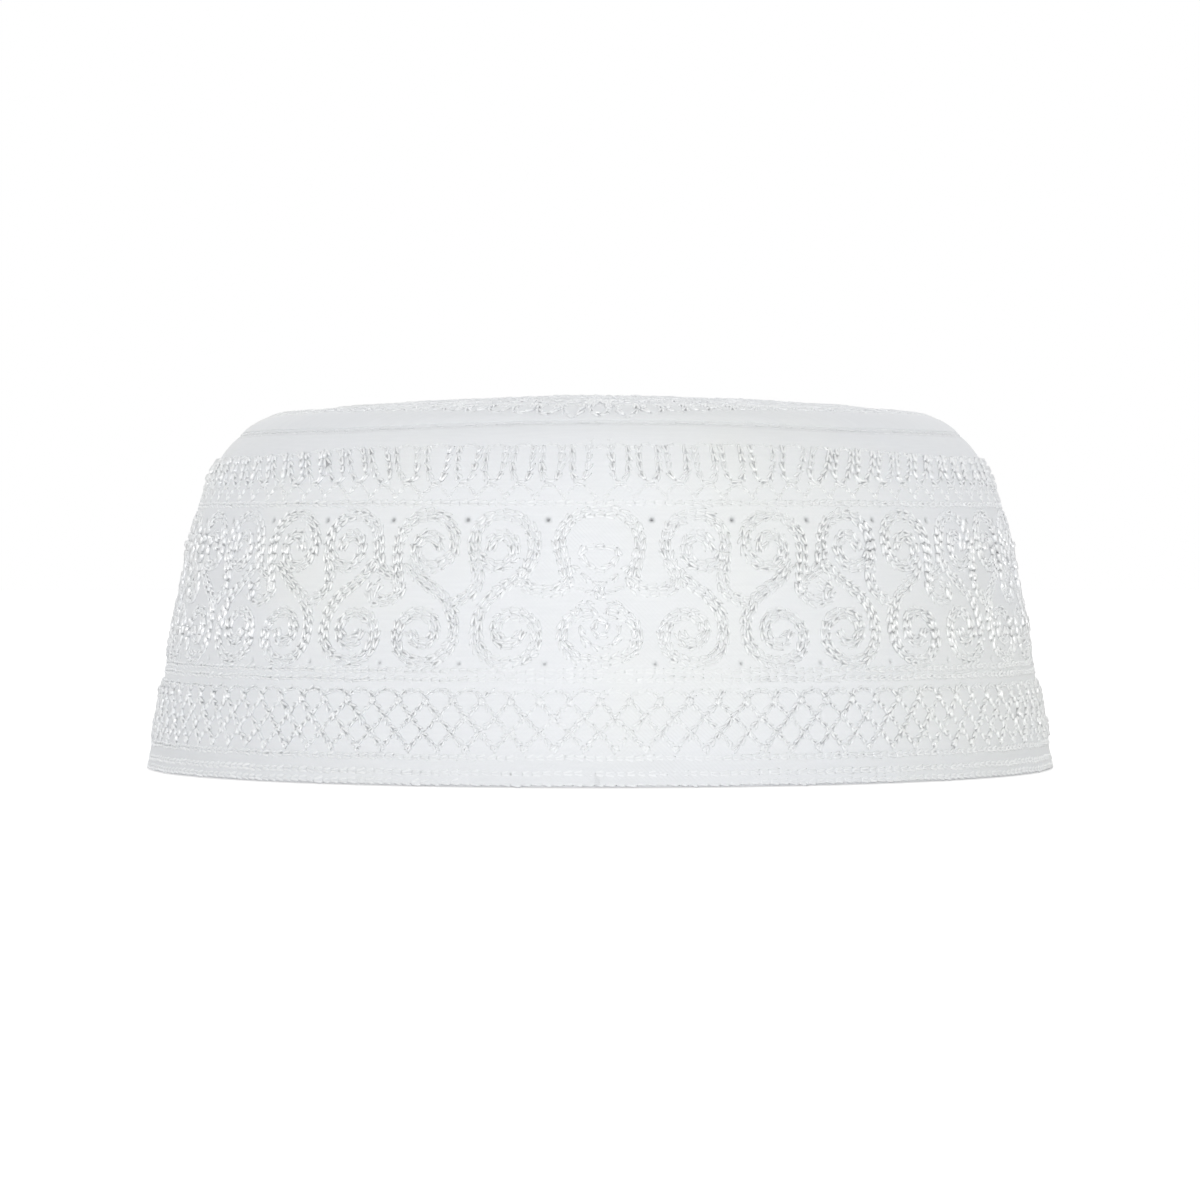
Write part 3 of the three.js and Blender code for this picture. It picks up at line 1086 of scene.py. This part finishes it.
# A side wall surface with the eyelets cut out: a grid whose blocks round each eyelet become rings
def pierced(grid):
    low, high = eyelets["rows"]
    bottom = capShape["hemTop"] + capShape["clothToHem"]
    top = capShape["seamBottom"] - capShape["clothToSeam"]
    rows = np.concatenate([
        np.linspace(bottom, low, grid["below"], endpoint=False),
        np.linspace(low, high, grid["between"], endpoint=False),
        np.linspace(high, top, grid["above"] + 1)])
    columns, eyeletColumns = [], []
    for index, angle in enumerate(eyeletAngles):
        gap = (eyeletAngles[(index + 1) % len(eyeletAngles)] - angle) % 360
        count = grid["frontColumns"] if abs(gap - eyeletPitch) > 0.01 else grid["columns"]
        eyeletColumns.append(len(columns))
        columns += list(angle + np.arange(count) * gap / count)
    across, up = len(columns), len(rows)
    angle = np.tile(columns, up)
    arc = np.repeat(rows, across)
    removed, faces, rims = set(), [], []
    extraAngle, extraArc = [], []
    for row, radius in zip((grid["below"], grid["below"] + grid["between"]), eyelets["radii"]):
        perDegree = np.radians(1) * float(capSection([rows[row]])[0][0])
        for column in eyeletColumns:
            block = blockRim(row, column, across)
            for r in range(row - blockHalf, row + blockHalf):
                for c in range(column - blockHalf, column + blockHalf):
                    removed.add((r, c % across))
            fromMiddle = (angle[block] - columns[column] + 180) % 360 - 180
            offsets = np.stack([fromMiddle * perDegree, arc[block] - rows[row]], -1)
            turns = np.arctan2(offsets[:, 1], offsets[:, 0])
            circle = np.stack([np.cos(turns), np.sin(turns)], -1) * radius
            inner = block
            for step in range(1, grid["rings"] + 1):
                share = (step / grid["rings"]) ** ringSpacing
                spot = offsets + (circle - offsets) * share
                first = len(angle) + len(extraAngle)
                extraAngle += list(columns[column] + spot[:, 0] / perDegree)
                extraArc += list(rows[row] + spot[:, 1])
                fresh = list(range(first, first + len(block)))
                for k in range(len(block)):
                    n = (k + 1) % len(block)
                    faces.append((inner[k], inner[n], fresh[n], fresh[k]))
                inner = fresh
            rims.append(inner)
    for row in range(up - 1):
        for column in range(across):
            if (row, column) not in removed:
                faces.append(gridFace(row, row + 1, column, across))
    angle = np.concatenate([angle, extraAngle])
    arc = np.concatenate([arc, extraArc])
    used = sorted({v for face in faces for v in face})
    renumber = {old: new for new, old in enumerate(used)}
    faces = [tuple(renumber[v] for v in face) for face in faces]
    rims = [[renumber[v] for v in rim] for rim in rims]
    edges = [[renumber[gridIndex(row, c, across)] for c in range(across)] for row in (0, up - 1)]
    return angle[used], arc[used], faces, rims, edges


# How far points of the chart are from the edge of the nearest eyelet, in mm
def eyeletDistance(angle, arc):
    nearest = np.full(len(angle), 99.0)
    for row, radius in zip(eyelets["rows"], eyelets["radii"]):
        perDegree = np.radians(1) * float(capSection([row])[0][0])
        for middle in eyeletAngles:
            across = ((angle - middle + 180) % 360 - 180) * perDegree
            nearest = np.minimum(nearest, np.hypot(across, arc - row) - radius)
    return nearest


def clothMap(mesh, coordinates):
    layer = mesh.uv_layers.new(name="clothMm")
    index = np.empty(len(mesh.loops), int)
    mesh.loops.foreach_get("vertex_index", index)
    layer.data.foreach_set("uv", coordinates[index].astype(np.float32).ravel())


def newPiece(name, points, faces, material):
    mesh = bpy.data.meshes.new(name)
    mesh.from_pydata(points.tolist(), [], faces)
    mesh.materials.append(material)
    mesh.polygons.foreach_set("use_smooth", [True] * len(mesh.polygons))
    mesh.update()
    mesh.set_sharp_from_angle(angle=math.radians(50))
    piece = bpy.data.objects.new(name, mesh)
    bpy.context.scene.collection.objects.link(piece)
    return piece


# Joins two loops of points, of equal or unequal counts, with faces
def bridge(outer, inner, angles):
    faces = []
    countOuter, countInner = len(outer), len(inner)
    i = j = 0
    turnOuter = [(a - angles[outer[0]]) % 360 for a in angles[outer]] + [360.0]
    turnInner = [(a - angles[inner[0]]) % 360 for a in angles[inner]] + [360.0]
    while i < countOuter or j < countInner:
        if j >= countInner or (i < countOuter and turnOuter[i + 1] <= turnInner[j + 1]):
            faces.append((outer[i % countOuter], inner[j % countInner], outer[(i + 1) % countOuter]))
            i += 1
        else:
            faces.append((outer[i % countOuter], inner[j % countInner], inner[(j + 1) % countInner]))
            j += 1
    return faces


# The cloth is a little greyer near the rim
rimGrey = {"amount": 0.1, "full": 4.5, "gone": 8.0}


def rimGreying(arc):
    return rimGrey["amount"] * np.interp(arc, (rimGrey["full"], rimGrey["gone"]), (1, 0))


def makeBandCloth():
    outAngle, outArc, outFaces, outRims, outEdges = pierced(outerGrid)
    inAngle, inArc, inFaces, inRims, inEdges = pierced(innerGrid)
    outArc, inArc = besideSeam(outAngle, outArc), besideSeam(inAngle, inArc)
    edge = np.clip(eyeletDistance(outAngle, outArc) / eyelets["funnelReach"], 0, 1)
    lift = puckerAt(outAngle, outArc) - eyelets["funnel"] * (1 - edge) ** 2
    outPoints = onCap(outAngle, outArc, lift)[0]
    inPoints = onCap(inAngle, inArc, np.full(len(inAngle), -capShape["clothThickness"]))[0]
    shift = len(outPoints)
    faces = list(outFaces) + [tuple(v + shift for v in reversed(face)) for face in inFaces]
    for outRim, inRim in zip(outRims, inRims):
        for k in range(len(outRim)):
            n = (k + 1) % len(outRim)
            faces.append((outRim[k], outRim[n], inRim[n] + shift, inRim[k] + shift))
    angle = np.concatenate([outAngle, inAngle])
    for which, (outEdge, inEdge) in enumerate(zip(outEdges, inEdges)):
        strip = bridge(np.array(outEdge), np.array(inEdge) + shift, angle % 360)
        faces += strip if which == 0 else [tuple(reversed(face)) for face in strip]
    piece = newPiece("band_cloth", np.vstack([outPoints, inPoints]), faces, cotton)
    inLowerRow = outArc < sum(eyelets["rows"]) / 2
    # painted shade down round each eyelet, less in the lower row, and the greying near the rim
    shade = rimGreying(outArc) + (1 - edge) ** 2 * np.where(inLowerRow, eyelets["lowerShade"], 1.0)
    keepAttribute(piece.data, "shade", np.concatenate([shade, np.zeros(len(inAngle))]))
    around = np.radians(angle) * scrollBand["referenceRadius"]
    clothMap(piece.data, np.stack([around, np.concatenate([outArc, inArc])], -1))
    return piece


print("making the cloth")
bandCloth = makeBandCloth()
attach(bandCloth, "root")
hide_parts("side_band")
print(f"  band_cloth: {len(bandCloth.data.polygons)} faces")


# A closed section turned round the cap: rows of (distance along the outline, depth into the cloth,
# painted shade)
def turnedRing(name, section, around, node):
    arcs, depths, paintedShades = (np.array(column, float) for column in zip(*section))
    angle = np.arange(around) * 360.0 / around
    points, chart = [], []
    for arc, depth in zip(arcs, depths):
        path = besideSeam(angle, np.full(around, arc))
        wave = drapeAt(angle, path) if depth < 1 else 0.0
        points.append(onCap(angle, path, wave - depth)[0])
        chart.append(np.stack([np.radians(angle) * scrollBand["referenceRadius"], path - depth], -1))
    faces = []
    for row in range(len(section)):
        following = (row + 1) % len(section)
        faces += [gridFace(row, following, column, around) for column in range(around)]
    piece = newPiece(name, np.vstack(points), faces, cotton)
    clothMap(piece.data, np.vstack(chart))
    # painted shade from the section, with the greying near the rim on the outer rows
    keepAttribute(piece.data, "shade", np.repeat(paintedShades + rimGreying(arcs) * (depths < 1), around))
    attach(piece, "root")
    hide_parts(node)
    print(f"  {name}: {len(faces)} faces")


# Sections run up the outside and down the inside. The seam's third column is painted shade in its groove
hemSection = [
    (0.22, 0.75, 0.0), (0.18, 0.4, 0.0), (0.3, 0.15, 0.0), (0.6, 0.0, 0.0), (1.2, -0.03, 0.0),
    (1.8, 0.0, 0.0), (2.3, 0.01, 0.0), (2.8, 0.01, 0.0), (3.0, 0.01, 0.0), (3.045, 0.02, 0.0),
    (3.045, 0.8, 0.0), (3.045, 2.3, 0.0), (2.9, 2.6, 0.0), (2.0, 2.7, 0.0), (1.0, 2.6, 0.0),
    (0.6, 2.4, 0.0), (0.42, 2.0, 0.0), (0.31, 1.5, 0.0),
]
seamSection = [
    (71.05, 0.12, 0.0), (71.3, 0.03, 0.08), (71.65, 0.0, 0.14), (71.92, 0.05, 0.18), (72.12, 0.12, 0.2),
    (72.32, 0.05, 0.18), (72.6, 0.0, 0.14), (72.9, 0.03, 0.08), (73.15, 0.12, 0.0), (73.03, 1.5, 0.0),
    (72.8, 2.8, 0.0), (72.4, 3.15, 0.0), (71.8, 3.15, 0.0), (71.4, 2.8, 0.0), (71.17, 1.5, 0.0),
]
turnedRing("hem_cloth", hemSection, 540, "hem")
turnedRing("seam_cloth", seamSection, 540, "crown_seam")


# One side of the crown: rings of points from the seam in to the middle
def crownLayer(rows, across, depth, first):
    turn = np.arange(across) * 360.0 / across
    points = []
    for row in rows:
        arc = besideSeam(turn, np.full(across, row))
        lift = np.full(across, -depth) if depth else puckerAt(turn, arc)
        points.append(onCap(turn, arc, lift)[0])
    middle = onCap([0.0], [outlineLength], [-depth])[0][0]
    points.append([[0.0, 0.0, middle[2]]])
    last = len(rows) - 1
    faces = []
    for row in range(last):
        faces += [gridFace(row, row + 1, column, across) for column in range(across)]
    for column in range(across):
        faces.append((gridIndex(last, column, across), gridIndex(last, column + 1, across),
                      len(rows) * across))
    if depth:
        faces = [face[::-1] for face in faces]
    faces = [tuple(first + v for v in face) for face in faces]
    return np.vstack(points), np.append(np.tile(turn, len(rows)), 0.0), faces


# Counts of rows and of points in each, and how far from the edge and the middle they begin and end
crownGrid = {
    "rows": 62, "across": 360, "rowsEnd": 6.0, "lastRows": (4.0, 2.0),
    "innerRows": 16, "innerAcross": 120, "innerBegin": 5.0, "innerEnd": 4.0,
}


def makeCrownCloth():
    start = capShape["seamTop"] + capShape["clothToSeam"]
    outRows = np.linspace(start, outlineLength - crownGrid["rowsEnd"], crownGrid["rows"])
    outRows = np.append(outRows, [outlineLength - end for end in crownGrid["lastRows"]])
    inRows = np.linspace(start + crownGrid["innerBegin"], outlineLength - crownGrid["innerEnd"],
                         crownGrid["innerRows"])
    inRows = np.append(start, inRows)
    outPoints, outAngle, outFaces = crownLayer(outRows, crownGrid["across"], 0.0, 0)
    shift = len(outPoints)
    depth = capShape["clothThickness"]
    inPoints, inAngle, inFaces = crownLayer(inRows, crownGrid["innerAcross"], depth, shift)
    points = np.vstack([outPoints, inPoints])
    outEdge, inEdge = np.arange(crownGrid["across"]), np.arange(crownGrid["innerAcross"]) + shift
    strip = bridge(outEdge, inEdge, np.concatenate([outAngle, inAngle]))
    piece = newPiece("crown_cloth", points, outFaces + inFaces + strip, cotton)
    clothMap(piece.data, points[:, :2] / mm)
    return piece


crownCloth = makeCrownCloth()
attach(crownCloth, "root")
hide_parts("crown")


# Scene: pale floor, soft light, camera at the photo's angle
studio = {
    "cameraDistance": 1.03867, "eyeHeight": 0.0457, "focalPixels": 5001.0, "horizonRow": 546.0,
    "imageSize": 1200.0, "sensor": 36.0,
    "floorSize": 8.0, "floorDrop": 0.0002, "floorTone": 0.6, "floorRoughness": 0.9,
    "floorGlow": 0.17, "floorSeenGlow": 0.65,
    "roomLight": 0.87, "fromBehind": 0.68, "fromAbove": -0.08,
    "keyPlace": (0.0, -1.7, 0.08), "keyTarget": (0.0, 0.0, 0.04), "keySize": (0.5, 0.4), "keyPower": 22.8,
}


def makeCamera():
    data = bpy.data.cameras.new("camera")
    data.sensor_width = studio["sensor"]
    data.lens = studio["sensor"] * studio["focalPixels"] / studio["imageSize"]
    camera = bpy.data.objects.new("camera", data)
    bpy.context.scene.collection.objects.link(camera)
    camera.location = (0, -studio["cameraDistance"], studio["eyeHeight"])
    pitch = math.atan((studio["imageSize"] / 2 - studio["horizonRow"]) / studio["focalPixels"])
    camera.rotation_euler = (math.pi / 2 - pitch, 0, 0)
    bpy.context.scene.camera = camera


def makeFloor():
    half = studio["floorSize"] / 2
    corners = [(-half, -half, 0), (half, -half, 0), (half, half, 0), (-half, half, 0)]
    mesh = bpy.data.meshes.new("floor")
    mesh.from_pydata(corners, [], [(0, 1, 2, 3)])
    floor = bpy.data.objects.new("floor", mesh)
    floor.location.z = -studio["floorDrop"]
    bpy.context.scene.collection.objects.link(floor)
    material, tree, shader = newMaterial("paleFloor")
    # brighter where the camera sees it than it shines on the cap
    path = addNode(tree, "ShaderNodeLightPath")
    added = studio["floorSeenGlow"] - studio["floorGlow"]
    glow = addMath(tree, "MULTIPLY_ADD", path.outputs["Is Camera Ray"], added, studio["floorGlow"])
    fillInputs(tree, shader, {
        "Base Color": opaque([studio["floorTone"]] * 3), "Roughness": studio["floorRoughness"],
        "Specular IOR Level": 0.0, "Emission Color": opaque((1, 1, 1)), "Emission Strength": glow})
    mesh.materials.append(material)


def areaLight(name, place, target, size, power):
    data = bpy.data.lights.new(name, "AREA")
    data.shape = "RECTANGLE"
    data.size, data.size_y = size
    data.energy = power
    light = bpy.data.objects.new(name, data)
    light.location = place
    light.rotation_euler = (Vector(target) - Vector(place)).to_track_quat("-Z", "Y").to_euler()
    bpy.context.scene.collection.objects.link(light)


# A white room, brighter behind the cap and a little darker above it
def makeWorld():
    world = bpy.data.worlds.new("studio")
    bpy.context.scene.world = world
    world.use_nodes = True
    tree = world.node_tree
    tree.nodes.clear()
    direction = addNode(tree, "ShaderNodeTexCoord")
    split = addNode(tree, "ShaderNodeSeparateXYZ", {0: direction.outputs["Generated"]})
    level = addMath(tree, "MULTIPLY_ADD", split.outputs["Y"], studio["fromBehind"], studio["roomLight"])
    strength = addMath(tree, "MULTIPLY_ADD", split.outputs["Z"], studio["fromAbove"], level)
    lit = addNode(tree, "ShaderNodeBackground", {"Color": opaque((1, 1, 1)), "Strength": strength})
    seen = addNode(tree, "ShaderNodeBackground", {"Color": opaque((1, 1, 1))})
    path = addNode(tree, "ShaderNodeLightPath")
    mix = addNode(tree, "ShaderNodeMixShader", {
        0: path.outputs["Is Camera Ray"], 1: lit.outputs[0], 2: seen.outputs[0]})
    addNode(tree, "ShaderNodeOutputWorld", {"Surface": mix.outputs[0]})


print("setting up the studio")
makeCamera()
makeFloor()
makeWorld()
areaLight("key", studio["keyPlace"], studio["keyTarget"], studio["keySize"], studio["keyPower"])
bpy.context.scene.view_settings.view_transform = "Standard"
